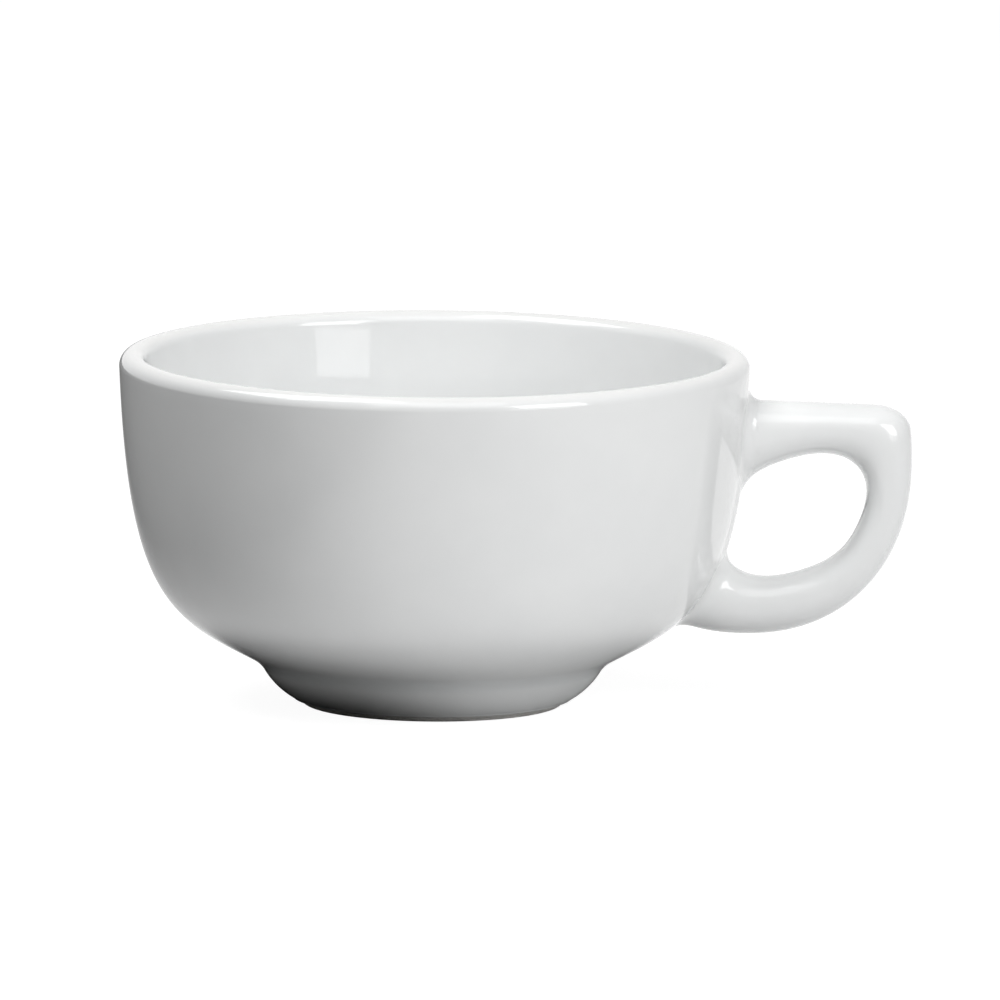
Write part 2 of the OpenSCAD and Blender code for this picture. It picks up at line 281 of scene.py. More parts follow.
@dataclass(frozen=True)
class WhiteGlaze:
    """Glossy white glaze: a hard, level glass coat with faint clouding, thin on edges."""

    name: str
    ring_height: float = 0.0
    pinhole: Optional[Point] = None
    colour: Colour = (0.873, 0.882, 0.881)
    cloud: Colour = (0.848, 0.858, 0.858)
    thin: Colour = (0.84, 0.825, 0.80)
    pooled: Colour = (0.80, 0.82, 0.83)
    iron: Colour = (0.25, 0.22, 0.18)
    cloud_scale: float = 55.0
    cloud_range: Span = (0.35, 0.7)
    lip_z: float = 57.0 * MM
    lip_fade: float = 1.1 * MM
    thin_share: float = 0.35
    crease_z: float = 6.9 * MM
    crease_fade: float = 1.6 * MM
    pooled_share: float = 0.5
    roughness: float = 0.07
    roughness_swing: float = 0.05
    roughness_scale: float = 140.0
    ior: float = 1.5
    peel_scale: float = 700.0
    peel_height: float = 0.006 * MM
    sag_scale: float = 60.0
    sag_height: float = 0.07 * MM
    ring_scale: float = 420.0
    pinhole_r: Span = (0.128 * MM, 0.32 * MM)
    pinhole_depth: float = 0.1 * MM
    pinhole_share: float = 0.6
    speck_scale: float = 90.0
    speck_edge: Span = (0.010, 0.020)
    speck_pick: Span = (0.965, 0.97)
    speck_share: float = 0.5

    def make(self) -> bpy.types.Material:
        """Build the material.

        Returns:
            The finished material.
        """
        material = bpy.data.materials.new(self.name)
        tree = Shader(material)
        place = tree.place()
        parts = tree.node("SeparateXYZ", Vector=place).outputs
        x, y, height = (tree.sum(parts[axis]) for axis in "XYZ")
        cloud = tree.noise(place, self.cloud_scale, 3.0).ramp(*self.cloud_range)
        body = tree.blend(cloud, self.colour, self.cloud)
        at_lip = height.ramp(self.lip_z - self.lip_fade, self.lip_z) * self.thin_share
        body = tree.blend(at_lip, body, self.thin)
        above = (height - self.crease_z) / self.crease_fade
        in_crease = (1 - above * above).most(0.0) * self.pooled_share
        body = tree.blend(in_crease, body, self.pooled)
        body = tree.blend(self._specks(tree, place), body, self.iron)
        relief = tree.noise(place, self.peel_scale, 1.0) * self.peel_height
        relief = relief + tree.noise(place, self.sag_scale, 1.0) * self.sag_height
        if self.ring_height > 0:
            along = (x * x + y * y) ** 0.5 + height
            in_line = {"noise_dimensions": "1D"}
            rings = tree.node("TexNoise", in_line, W=along, Scale=self.ring_scale, Detail=1.0)
            relief = relief + tree.sum(rings.outputs[0]) * self.ring_height
        if self.pinhole is not None:
            off = [axis - at for axis, at in zip((x, y, height), self.pinhole)]
            away = (off[0] * off[0] + off[1] * off[1] + off[2] * off[2]) ** 0.5
            hole = 1 - away.ramp(*self.pinhole_r)
            body = tree.blend(hole * self.pinhole_share, body, self.iron)
            relief = relief - hole * self.pinhole_depth
        bump = tree.node("Bump", Strength=1.0, Distance=1.0, Height=relief)
        worn = tree.noise(place, self.roughness_scale, 4.0)
        surface = tree.node(
            "BsdfPrincipled",
            Base_Color=body,
            Roughness=worn * self.roughness_swing + (self.roughness - self.roughness_swing / 2),
            IOR=self.ior,
            Normal=bump.outputs[0],
        )
        tree.out(surface.outputs[0])
        return material

    def _specks(self, tree: Shader, place: bpy.types.NodeSocket) -> Sum:
        """Make rare iron specks, a fraction of a millimetre across.

        Args:
            tree: The material's shader.
            place: The point on the piece.

        Returns:
            Their mask.
        """
        cells = tree.node("TexVoronoi", Vector=place, Scale=self.speck_scale)
        near = tree.sum(cells.outputs["Distance"])
        pick = tree.sum(tree.node("SeparateColor", Color=cells.outputs["Color"]).outputs[0])
        return (1 - near.ramp(*self.speck_edge)) * pick.ramp(*self.speck_pick) * self.speck_share


@dataclass(frozen=True)
class FiredClay:
    """Bare fired porcelain: pale, dry and faintly grainy."""

    name: str
    colour: Colour = (0.80, 0.785, 0.76)
    grain: Colour = (0.68, 0.66, 0.62)
    grain_scale: float = 2600.0
    grain_range: Span = (0.45, 0.75)
    grain_share: float = 0.6
    grain_height: float = 0.03 * MM
    rubbed: Colour = (0.42, 0.41, 0.40)
    rubbed_share: float = 0.0
    rubbed_scale: float = 420.0
    rubbed_range: Span = (0.48, 0.66)
    rubbed_z: Span = (0.05 * MM, 0.5 * MM)
    roughness: float = 0.62
    roughness_swing: float = 0.2
    ior: float = 1.5

    def make(self) -> bpy.types.Material:
        """Build the material.

        Returns:
            The finished material.
        """
        material = bpy.data.materials.new(self.name)
        tree = Shader(material)
        place = tree.place()
        grain = tree.noise(place, self.grain_scale, 3.0)
        body = tree.blend(grain.ramp(*self.grain_range) * self.grain_share, self.colour, self.grain)
        height = tree.sum(tree.node("SeparateXYZ", Vector=place).outputs["Z"])
        smears = tree.noise(place, self.rubbed_scale, 4.0).ramp(*self.rubbed_range)
        marks = smears * (1 - height.ramp(*self.rubbed_z)) * self.rubbed_share
        body = tree.blend(marks, body, self.rubbed)
        bump = tree.node("Bump", Strength=1.0, Distance=self.grain_height, Height=grain)
        surface = tree.node(
            "BsdfPrincipled",
            Base_Color=body,
            Roughness=(grain - marks) * self.roughness_swing + self.roughness,
            IOR=self.ior,
            Normal=bump.outputs[0],
        )
        tree.out(surface.outputs[0])
        return material


@dataclass(frozen=True)
class PaleFloor:
    """White paper to the eye. In the light that it throws back and in the glaze's reflections, painted
    shade darkens its left side and a painted shadow rings the foot, darkest on the left.
    """

    name: str = "pale_floor"
    lit: float = 0.2
    fill: float = 0.95
    bounce: float = 0.8
    # Painted shade: a dark tone over the floor's left side, seen only in bounced light and reflections.
    painted_left_shade: float = 0.17
    painted_left_shade_edge: Span = (-110.0 * MM, 0.0)
    # Painted shadow: a darker ring round the foot, black on its left side, seen only in bounced light and
    # reflections.
    painted_foot_shadow: float = 0.66
    painted_foot_shadow_r: Span = (34.0 * MM, 52.0 * MM)
    painted_foot_shadow_edge: Span = (-18.0 * MM, 14.0 * MM)
    fibre_scale: float = 35.0
    fibre_swing: float = 0.02

    def make(self) -> bpy.types.Material:
        """Build the material.

        Returns:
            The finished material.
        """
        material = bpy.data.materials.new(self.name)
        tree = Shader(material)
        place = tree.place()
        parts = tree.node("SeparateXYZ", Vector=place).outputs
        x, y = tree.sum(parts["X"]), tree.sum(parts["Y"])
        # Painted shade: the share of the floor that lies clear of the dark left side.
        outside_painted_shade = x.ramp(*self.painted_left_shade_edge)
        # Painted shadow: the floor's tone falls to a darker ring round the foot, black on the left.
        clear = ((x * x + y * y) ** 0.5).ramp(*self.painted_foot_shadow_r)
        near = x.ramp(*self.painted_foot_shadow_edge) * self.painted_foot_shadow
        tone = near + clear * (outside_painted_shade * (self.bounce - self.painted_left_shade) + self.painted_left_shade - near)
        camera, glossy, through = tree.rays()
        fibre = (tree.noise(place, self.fibre_scale) - 0.5) * self.fibre_swing
        lit = tree.node("BsdfDiffuse", Color=tree.grey(fibre + self.lit))
        glow = tree.node("Emission", Color=(1.0, 1.0, 1.0), Strength=self.fill)
        white = tree.join("AddShader", lit, glow)
        # The light that the floor throws back carries the painted shade and the painted shadow.
        bounce_with_painted_shade = tree.node("BsdfDiffuse", Color=tree.grey(tone))
        # Glossy rays see white only clear of the painted shade and painted shadow, so the glaze shows them
        # as painted reflections.
        seen = camera.most(through).most(glossy * outside_painted_shade * clear)
        both = tree.join("MixShader", bounce_with_painted_shade, white, Fac=seen)
        tree.out(both.outputs[0])
        return material


# Meshes


def rounded_min(a: np.ndarray, b: np.ndarray, blend: float) -> np.ndarray:
    """Return the lesser of two lengths, rounded over where they are close."""
    return np.minimum(a, b) - np.maximum(blend - np.abs(a - b), 0.0) ** 2 / (4 * blend)


def ease(share: np.ndarray) -> np.ndarray:
    """Return a share from 0 to 1 with a soft start and end."""
    share = np.clip(share, 0.0, 1.0)
    return share * share * (3 - 2 * share)


def bezier(points: Sequence[np.ndarray], t: np.ndarray) -> np.ndarray:
    """Return points along a cubic curve.

    Args:
        points: Its four control points.
        t: Places along it, from 0 to 1.

    Returns:
        One point a row.
    """
    t = t[:, None]
    a, b, c, d = points
    return (1 - t) ** 3 * a + 3 * (1 - t) ** 2 * t * b + 3 * (1 - t) * t**2 * c + t**3 * d


def bezier_way(points: Sequence[np.ndarray], t: np.ndarray) -> np.ndarray:
    """Return unit directions along a cubic curve.

    Args:
        points: Its four control points.
        t: Places along it, from 0 to 1.

    Returns:
        One direction a row.
    """
    t = t[:, None]
    a, b, c, d = points
    way = (1 - t) ** 2 * (b - a) + 2 * (1 - t) * t * (c - b) + t**2 * (d - c)
    return way / np.linalg.norm(way, axis=1, keepdims=True)


def finish_piece(
    mesh: bpy.types.Mesh, name: str, node: Optional[str], sharp_deg: float = 50.0
) -> None:
    """Make a piece of a mesh, set its faces outward and hang it on the part's body.

    Args:
        mesh: A closed mesh, in place.
        name: The piece's name.
        node: The part's node that it stands for, if there is one.
        sharp_deg: Edges that turn more than this stay crisp.
    """
    work = bmesh.new()
    work.from_mesh(mesh)
    bmesh.ops.remove_doubles(work, verts=work.verts, dist=MERGE_DISTANCE)
    loose = [edge for edge in work.edges if not edge.link_faces]
    bmesh.ops.delete(work, geom=loose, context="EDGES")
    bmesh.ops.recalc_face_normals(work, faces=work.faces)
    work.to_mesh(mesh)
    work.free()
    mesh.name = name
    mesh.shade_smooth()
    mesh.set_sharp_from_angle(angle=math.radians(sharp_deg))
    piece = bpy.data.objects.new(name, mesh)
    bpy.context.scene.collection.objects.link(piece)
    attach(piece, BODY)
    if node is not None:
        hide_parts(node)
    LOG.info("%s: %d faces", name, len(mesh.polygons))


@dataclass
class Wheel:
    """A potter's wheel: a node tree that turns an outline about the Z axis."""

    steps_round: int = 192
    radius: float = 100.0 * MM
    weld: float = 0.001 * MM
    tree: bpy.types.NodeTree = field(init=False)

    def __post_init__(self) -> None:
        """Build the tree once, with named inputs for its sizes."""
        self.tree = bpy.data.node_groups.new("potters_wheel", "GeometryNodeTree")
        sizes = {"Steps Round": "Int", "Wheel Radius": "Float", "Weld Distance": "Float"}
        for name, kind in {"Outline": "Geometry", **sizes, "Finish": "Material"}.items():
            self.tree.interface.new_socket(name, in_out="INPUT", socket_type="NodeSocket" + kind)
        self.tree.interface.new_socket("Turned", in_out="OUTPUT", socket_type="NodeSocketGeometry")
        start = self.tree.nodes.new("NodeGroupInput").outputs
        line = self._add("MeshToCurve", Mesh=start["Outline"])
        steps, radius = start["Steps Round"], start["Wheel Radius"]
        circle = self._add("CurvePrimitiveCircle", Resolution=steps, Radius=radius)
        swept = self._add("CurveToMesh", Curve=circle, Profile_Curve=line)
        welded = self._add("MergeByDistance", Geometry=swept, Distance=start["Weld Distance"])
        real = self._add("RealizeInstances", Geometry=welded)
        dressed = self._add("SetMaterial", Geometry=real, Material=start["Finish"])
        self.tree.links.new(dressed, self.tree.nodes.new("NodeGroupOutput").inputs["Turned"])

    def _add(self, kind: str, **links: bpy.types.NodeSocket) -> bpy.types.NodeSocket:
        """Make one node of the tree.

        Args:
            kind: The node's type without the GeometryNode in front.
            links: The output that feeds each socket, with an underscore for each space.

        Returns:
            The node's first output.
        """
        made = self.tree.nodes.new("GeometryNode" + kind)
        for name, link in links.items():
            self.tree.links.new(link, made.inputs[name.replace("_", " ")])
        return made.outputs[0]

    def turn(self, outline: np.ndarray, closed: bool, finish: bpy.types.Material) -> bpy.types.Mesh:
        """Turn an outline into a plain mesh.

        Args:
            outline: Radius and height of each point, in order.
            closed: Whether the outline ends where it starts. If not, both ends are on the axis.
            finish: The material.

        Returns:
            The mesh.
        """
        count = len(outline)
        # The sweep takes the outline lying flat, with the axis one wheel radius to the left of its origin.
        points = [(float(r) - self.radius, -float(z), 0.0) for r, z in outline]
        edges = [(i, (i + 1) % count) for i in range(count if closed else count - 1)]
        drawn = bpy.data.meshes.new("outline")
        drawn.from_pydata(points, edges, [])
        blank = bpy.data.objects.new("outline", drawn)
        bpy.context.scene.collection.objects.link(blank)
        modifier = blank.modifiers.new("wheel", "NODES")
        modifier.node_group = self.tree
        values = {
            "Steps Round": self.steps_round,
            "Wheel Radius": self.radius,
            "Weld Distance": self.weld,
            "Finish": finish,
        }
        for socket in self.tree.interface.items_tree:
            if socket.in_out == "INPUT" and socket.name in values:
                modifier[socket.identifier] = values[socket.name]
        depsgraph = bpy.context.evaluated_depsgraph_get()
        mesh = bpy.data.meshes.new_from_object(blank.evaluated_get(depsgraph), depsgraph=depsgraph)
        blank.modifiers.remove(modifier)
        bpy.data.objects.remove(blank)
        bpy.data.meshes.remove(drawn)
        return mesh


# Sub-assemblies


@dataclass
class Foot:
    """The clay ring under the bowl, bare where it stands, with glaze on its side and in its well."""

    top_d: float = 56.0 * MM
    base_d: float = 39.6 * MM
    height: float = 6.9 * MM
    bulge: float = 1.2 * MM
    land: float = 3.2 * MM
    edge_r: float = 0.6 * MM
    coat: float = 0.3 * MM
    glaze_stop: float = 1.0 * MM
    under_rise: float = math.radians(28.3)
    well_top: float = 3.6 * MM
    well_corner_r: float = 1.1 * MM
    side_steps: int = 24
    edge_steps: int = 8
    well_steps: int = 8

    @property
    def crease(self) -> np.ndarray:
        """Return the glazed crease between foot and bowl, as radius and height."""
        return np.array([self.top_d / 2, self.height])

    @property
    def clay_crease(self) -> np.ndarray:
        """Return the clay crease, one coat inside the glazed one."""
        inward = np.array([-math.sin(self.under_rise), math.cos(self.under_rise)])
        return self.crease + self.coat * inward

    @property
    def well_r(self) -> float:
        """Return the glazed well's radius."""
        return self.base_d / 2 - self.land

    @property
    def bore_r(self) -> float:
        """Return the clay ring's bore radius."""
        return self.well_r + self.coat

    def side_r(self, z: np.ndarray, clay: bool) -> np.ndarray:
        """Return the radius of the foot's bulging side.

        Args:
            z: Heights.
            clay: Whether the clay or the glaze is meant.

        Returns:
            A radius for each height.
        """
        base = np.array([self.base_d / 2 - (self.coat if clay else 0.0), 0.0])
        top = self.clay_crease if clay else self.crease
        chord = top - base
        length = float(np.linalg.norm(chord))
        arc_r = (length**2 / 4 + self.bulge**2) / (2 * self.bulge)
        out = np.array([chord[1], -chord[0]]) / length
        centre = (base + top) / 2 - (arc_r - self.bulge) * out
        return centre[0] + np.sqrt(arc_r**2 - (z - centre[1]) ** 2)

    def build(self, wheel: Wheel, glaze: bpy.types.Material, bare: bpy.types.Material) -> None:
        """Turn the foot's three pieces.

        Args:
            wheel: The wheel.
            glaze: The glaze.
            bare: The bare clay.
        """
        mesh = wheel.turn(self._ring_outline(), True, bare)
        finish_piece(mesh, "foot_ring_bare", "foot_ring")
        mesh = wheel.turn(self._side_outline(), True, glaze)
        finish_piece(mesh, "foot_side_glaze", "foot_glaze")
        mesh = wheel.turn(self._well_outline(), False, glaze)
        finish_piece(mesh, "foot_well_glaze", "well_glaze")

    def _ring_outline(self) -> np.ndarray:
        """Return the clay ring's outline, with both edges of its land rounded."""
        turn = np.linspace(0.0, math.pi / 2, self.edge_steps)
        side = float(self.side_r(np.array([self.edge_r]), True)[0])
        outer_r = side - self.edge_r * (1 - np.sin(turn))
        outer = np.stack([outer_r, self.edge_r * (1 - np.cos(turn))], axis=1)
        inner = np.stack([self.bore_r + side - outer[:, 0], outer[:, 1]], axis=1)[::-1]
        z = np.linspace(self.edge_r, self.clay_crease[1], self.side_steps)[1:]
        rise = np.stack([self.side_r(z, True), z], axis=1)
        return np.concatenate([[[self.bore_r, self.clay_crease[1]]], inner, outer, rise])

    def _side_outline(self) -> np.ndarray:
        """Return the side glaze's outline, with a rolled lower edge."""
        bead = self.coat / 2
        low = self.glaze_stop + bead
        z = np.linspace(low, self.height, self.side_steps)
        outside = np.stack([self.side_r(z, False), z], axis=1)
        z = np.linspace(self.clay_crease[1], low, self.side_steps)
        inside = np.stack([self.side_r(z, True), z], axis=1)
        middle = (outside[0] + inside[-1]) / 2
        reach = (outside[0] - inside[-1]) / 2
        turn = np.linspace(math.pi, 0.0, self.edge_steps)[1:-1]
        roll = middle + np.cos(turn)[:, None] * reach - np.sin(turn)[:, None] * np.array([0.0, bead])
        return np.concatenate([outside, inside, roll])

    def _well_outline(self) -> np.ndarray:
        """Return the well glaze's outline from the axis to the axis, with a hollow round corner."""
        corner = self.well_corner_r
        turn = np.linspace(0.0, math.pi / 2, self.edge_steps)
        arc_r = self.well_r - corner * (1 - np.sin(turn))
        arc = np.stack([arc_r, self.well_top - corner * (1 - np.cos(turn))], axis=1)
        face = [[r, self.well_top] for r in np.linspace(0.0, self.well_r - corner, self.well_steps)[:-1]]
        top = self.well_top + self.coat
        back = [[self.bore_r, self.glaze_stop], [self.bore_r, top]]
        roof = [[r, top] for r in np.linspace(self.bore_r, 0.0, self.well_steps)[1:]]
        return np.concatenate([face, arc, [[self.well_r, self.glaze_stop]], back, roof])


@dataclass
class Bowl:
    """The turned clay bowl with its round lip, glazed inside and out."""

    foot: Foot
    rim_d: float = 102.0 * MM
    height: float = 57.0 * MM
    wall_t: float = 4.4 * MM
    wall_gain: float = 1.0 * MM
    gain_end_share: float = 0.11
    floor_over_foot: float = 2.9 * MM
    wall_lean: float = math.radians(2.5)
    wall_pull_share: float = 0.83
    under_pull_share: float = 0.682
    dish_start_share: float = 0.8
    dish_edge_pull_share: float = 0.24
    dish_middle_pull_share: float = 0.5
    wall_steps: int = 72
    dish_steps: int = 28
    lip_steps: int = 16
    pool_r: float = 2.0 * MM
    pool_drop_share: float = 0.75
    pool_steps: int = 12
    table_steps: int = 3000

    def __post_init__(self) -> None:
        """Work out the outside curve, from the lip down to the crease."""
        self.lip_r = self.wall_t / 2
        self.lip_centre = np.array([self.rim_d / 2 - self.lip_r, self.height - self.lip_r])
        lean, rise = self.wall_lean, self.foot.under_rise
        top = self.lip_centre + self.lip_r * np.array([math.cos(lean), -math.sin(lean)])
        crease = self.foot.crease
        pull = self.wall_pull_share * (top[1] - crease[1])
        self.inner_lean = lean + math.atan(2 * self.wall_gain / self.gain_end_share / (3 * pull))
        under = self.under_pull_share * (top[0] - crease[0])
        self.curve = (
            top,
            top - pull * np.array([math.sin(lean), math.cos(lean)]),
            crease + under * np.array([math.cos(rise), math.sin(rise)]),
            crease,
        )
        t = np.linspace(0.0, 1.0, self.table_steps)
        points = bezier(self.curve, t)
        ways = bezier_way(self.curve, t)
        self._table_z = points[::-1, 1]
        self._table_r = points[::-1, 0]
        self._table_lean = np.arctan2(-ways[::-1, 0], -ways[::-1, 1])

    @property
    def rim_r(self) -> float:
        """Return the rim's radius."""
        return self.rim_d / 2

    @property
    def floor_z(self) -> float:
        """Return the height of the floor's middle."""
        return self.foot.height + self.floor_over_foot

    def lean_at(self, z: np.ndarray) -> np.ndarray:
        """Return how far the outside leans out from upright at some heights, in radians."""
        return np.interp(z, self._table_z, self._table_lean)

    def outside_r(self, z: np.ndarray, depth: float) -> np.ndarray:
        """Return the outside's radius at some heights, a given depth inside the glaze."""
        return np.interp(z, self._table_z, self._table_r) - depth / np.cos(self.lean_at(z))

    def wall_points(self, t: np.ndarray, depth: Union[np.ndarray, float]) -> np.ndarray:
        """Return points in the wall.

        Args:
            t: Their shares of the outside curve, from the lip down.
            depth: How far inside the finished outside they lie, square to the wall.

        Returns:
            Radius and height of each point.
        """
        way = bezier_way(self.curve, t)
        out = np.stack([-way[:, 1], way[:, 0]], axis=1)
        return bezier(self.curve, t) - np.broadcast_to(depth, t.shape)[:, None] * out

    def wall_line(self, depth: float) -> np.ndarray:
        """Return the outside's outline from the lip to the crease, a given depth inside the glaze."""
        return self.wall_points(np.linspace(0.0, 1.0, self.wall_steps), depth)

    def lip_line(self, depth: float, start: float, end: float) -> np.ndarray:
        """Return an arc of the lip.

        Args:
            depth: How far inside the glaze it lies.
            start: The first angle above level, in radians.
            end: The last angle.

        Returns:
            Radius and height of each point.
        """
        a = np.linspace(start, end, self.lip_steps)
        return self.lip_centre + (self.lip_r - depth) * np.stack([np.cos(a), np.sin(a)], axis=1)

    def inside_line(self, depth: float) -> np.ndarray:
        """Return the inside's outline from the lip to the axis, a given depth under the glaze."""
        t = np.linspace(0.0, self.dish_start_share, self.wall_steps)[1:]
        gain = self.wall_gain * (1 - np.maximum(1 - t / self.gain_end_share, 0.0) ** 2)
        wall = self.wall_points(t, self.wall_t + gain - depth)
        edge = wall[-1]
        way = bezier_way(self.curve, np.array([self.dish_start_share]))[0]
        middle = np.array([0.0, self.floor_z - depth])
        dish = (
            edge,
            edge + self.dish_edge_pull_share * edge[0] * way,
            middle + np.array([self.dish_middle_pull_share * edge[0], 0.0]),
            middle,
        )
        return np.concatenate([wall, bezier(dish, np.linspace(0.0, 1.0, self.dish_steps))[1:]])

    def build(self, wheel: Wheel, glaze: bpy.types.Material, clay: bpy.types.Material) -> None:
        """Turn the bowl's three pieces.

        Args:
            wheel: The wheel.
            glaze: The glaze.
            clay: The clay under it.
        """
        mesh = wheel.turn(self._clay_outline(), False, clay)
        finish_piece(mesh, "bowl_clay", "bowl")
        mesh = wheel.turn(self._inner_outline(), False, glaze)
        finish_piece(mesh, "bowl_inner_glaze", "inner_glaze")
        mesh = wheel.turn(self._outer_outline(), True, glaze)
        finish_piece(mesh, "bowl_outer_glaze", "outer_glaze")

    def _clay_outline(self) -> np.ndarray:
        """Return the clay's outline, from the axis under the floor round to the axis above it."""
        foot = self.foot
        roof = foot.well_top + foot.coat
        under = [[0.0, roof], [foot.bore_r, roof], [foot.bore_r, foot.clay_crease[1]]]
        outside = self.wall_line(foot.coat)[::-1]
        lip = self.lip_line(foot.coat, -self.wall_lean, math.pi - self.inner_lean)[1:]
        return np.concatenate([under, outside, lip, self.inside_line(foot.coat)])

    def _inner_outline(self) -> np.ndarray:
        """Return the lining's outline, from the floor up to the crest of the lip and back down."""
        coat = self.foot.coat
        crest, inner = math.pi / 2, math.pi - self.inner_lean
        face = np.concatenate([self.lip_line(0.0, crest, inner), self.inside_line(0.0)])
        back = np.concatenate([self.lip_line(coat, crest, inner), self.inside_line(coat)])
        return np.concatenate([face[::-1], back])

    def _outer_outline(self) -> np.ndarray:
        """Return the outside coat's outline, with the glaze pooled in the crease above the foot."""
        coat = self.foot.coat
        crest, outer = math.pi / 2, -self.wall_lean
        face = np.concatenate([self.lip_line(0.0, crest, outer)[:-1], self._pooled(self.wall_line(0.0))])
        back = np.concatenate([self.lip_line(coat, crest, outer)[:-1], self.wall_line(coat)])
        return np.concatenate([face, back[::-1]])

    def _pooled(self, wall: np.ndarray) -> np.ndarray:
        """Return the outside with a hollow curve from the wall to the foot's side in place of the crease.

        Args:
            wall: The outside's outline, from the lip down to the crease.

        Returns:
            The outline, which now ends on the foot's side.
        """
        crease = self.foot.crease
        keep = wall[np.linalg.norm(wall - crease, axis=1) > self.pool_r]
        z = crease[1] - self.pool_r * self.pool_drop_share
        end = np.array([float(self.foot.side_r(np.array([z]), False)[0]), z])
        t = np.linspace(0.0, 1.0, self.pool_steps)[1:, None]
        arc = (1 - t) ** 2 * keep[-1] + 2 * (1 - t) * t * crease + t**2 * end
        return np.concatenate([keep, arc])


@dataclass
class Handle:
    """The cast handle, its two slip joints, the glaze over all three and the low ridge between them."""

    bowl: Bowl
    reach: float = 26.3 * MM
    drop: float = 7.2 * MM
    lift: float = 11.8 * MM
    top_fall: float = math.radians(1.9)
    corner_blend: float = 6.4 * MM
    sweep_reach: float = 26.8 * MM
    sweep_drop: float = 28.6 * MM
    tip_depth: float = 10.6 * MM
    root_depth: float = 13.0 * MM
    upper_limb_t: float = 8.7 * MM
    side_limb_t: float = 7.6 * MM
    lower_limb_t: float = 9.4 * MM
    hole_bite: float = 4.1 * MM
    hole_slant: float = 0.31
    hole_fullness: float = 0.05
    fillet_r: float = 2.2 * MM
    section_power: float = 2.3
    sweep_power: float = 2.2
    inward: float = math.radians(185.0)
    feather_w: float = 1.6 * MM
    feather_h: float = 0.008 * MM
    feather_dip: float = 2.5
    coat_sharp_deg: float = 60.0
    ridge_h: float = 0.45 * MM
    ridge_half_w: float = 7.2 * MM
    ridge_flat_share: float = 0.45
    ridge_z: Span = (16.5 * MM, 41.5 * MM)
    ridge_fade: float = 4.0 * MM
    ridge_sink: float = 0.02 * MM
    ridge_back: float = 0.2 * MM
    ridge_rows: int = 60
    ridge_columns: int = 33
    rings: int = 150
    sides: int = 72
    fillet_steps: int = 14
    feather_steps: int = 6
    cap_steps: int = 8
    search_steps: int = 34

    def __post_init__(self) -> None:
        """Work out the hole's box and the outer sweep's middle."""
        self.top = self.bowl.height - self.drop
        tip = self.bowl.rim_r + self.reach
        self.sweep_centre = np.array([tip - self.sweep_reach, self.lift + self.sweep_drop])
        right, left = tip - self.side_limb_t, self.bowl.rim_r - self.hole_bite
        high, low = self.top - self.upper_limb_t, self.lift + self.lower_limb_t
        self.hole_centre = np.array([(left + right) / 2, (low + high) / 2])
        self.hole_half = np.array([(right - left) / 2, (high - low) / 2])
        self.turns = np.linspace(0.0, 2 * math.pi, self.sides, endpoint=False)

    def _hole_distance(self, a: np.ndarray) -> np.ndarray:
        """Return the hole's edge, from its centre, in some directions."""
        x, z = np.cos(a) / self.hole_half[0], np.sin(a) / self.hole_half[1]
        fuller = 1 + self.hole_fullness * np.sin(2 * np.arctan2(z, x)) ** 2
        return fuller * np.sqrt((1 - self.hole_slant**2) / (x**2 + z**2 - 2 * self.hole_slant * x * z))

    def _sweep_distance(self, a: np.ndarray) -> np.ndarray:
        """Return the outer sweep, from the hole's centre, in some directions."""
        near, far = np.zeros_like(a), np.full_like(a, self.bowl.rim_d)
        for _ in range(self.search_steps):
            middle = (near + far) / 2
            x = (self.hole_centre[0] + middle * np.cos(a) - self.sweep_centre[0]) / self.sweep_reach
            z = (self.hole_centre[1] + middle * np.sin(a) - self.sweep_centre[1]) / self.sweep_drop
            inside = np.abs(x) ** self.sweep_power + np.abs(z) ** self.sweep_power < 1
            near, far = np.where(inside, middle, near), np.where(inside, far, middle)
        return (near + far) / 2

    def _top_distance(self, a: np.ndarray) -> np.ndarray:
        """Return the handle's top, from the hole's centre, in the directions that climb to it."""
        fall = math.tan(self.top_fall)
        rise = self.top - self.hole_centre[1] - fall * (self.hole_centre[0] - self.bowl.rim_r)
        climb = np.sin(a) + fall * np.cos(a)
        least = rise / self.bowl.rim_d
        return np.where(climb > least, rise / np.maximum(climb, least), self.bowl.rim_d)

    def _squared(self, x: np.ndarray) -> np.ndarray:
        """Return a signed power, which squares off the rounded section."""
        return np.sign(x) * np.abs(x) ** (2 / self.section_power)

    def point(self, u: np.ndarray, v: np.ndarray, depth: float) -> np.ndarray:
        """Return points on the handle's surface.

        Args:
            u: Places along it, from inside the bowl above to inside the bowl below.
            v: Angles round its section.
            depth: How far inside the glaze.

        Returns:
            One point for each pair of places.
        """
        a = self.inward - 2 * math.pi * u
        outer = rounded_min(self._top_distance(a), self._sweep_distance(a), self.corner_blend)
        inner = self._hole_distance(a)
        half = (outer - inner) / 2 - depth
        share = (2 * np.abs(u - 0.5)) ** 2
        half_depth = (self.tip_depth + (self.root_depth - self.tip_depth) * share) / 2 - depth
        d = (outer + inner) / 2 + half * self._squared(np.cos(v))
        x = self.hole_centre[0] + d * np.cos(a)
        z = self.hole_centre[1] + d * np.sin(a)
        return np.stack([x, half_depth * self._squared(np.sin(v)), z], axis=-1)

    def _clearance(self, p: np.ndarray, depth: float) -> np.ndarray:
        """Return how far points lie out from the bowl, at a given depth."""
        r = np.hypot(p[..., 0], p[..., 1])
        return (r - self.bowl.outside_r(p[..., 2], depth)) * np.cos(self.bowl.lean_at(p[..., 2]))

    def _settled(self, p: np.ndarray, depth: float, distance: float) -> np.ndarray:
        """Return points moved level until they are a given distance off the bowl."""
        z = p[..., 2]
        r = self.bowl.outside_r(z, depth) + distance / np.cos(self.bowl.lean_at(z))
        a = np.arctan2(p[..., 1], p[..., 0])
        return np.stack([r * np.cos(a), r * np.sin(a), z], axis=-1)

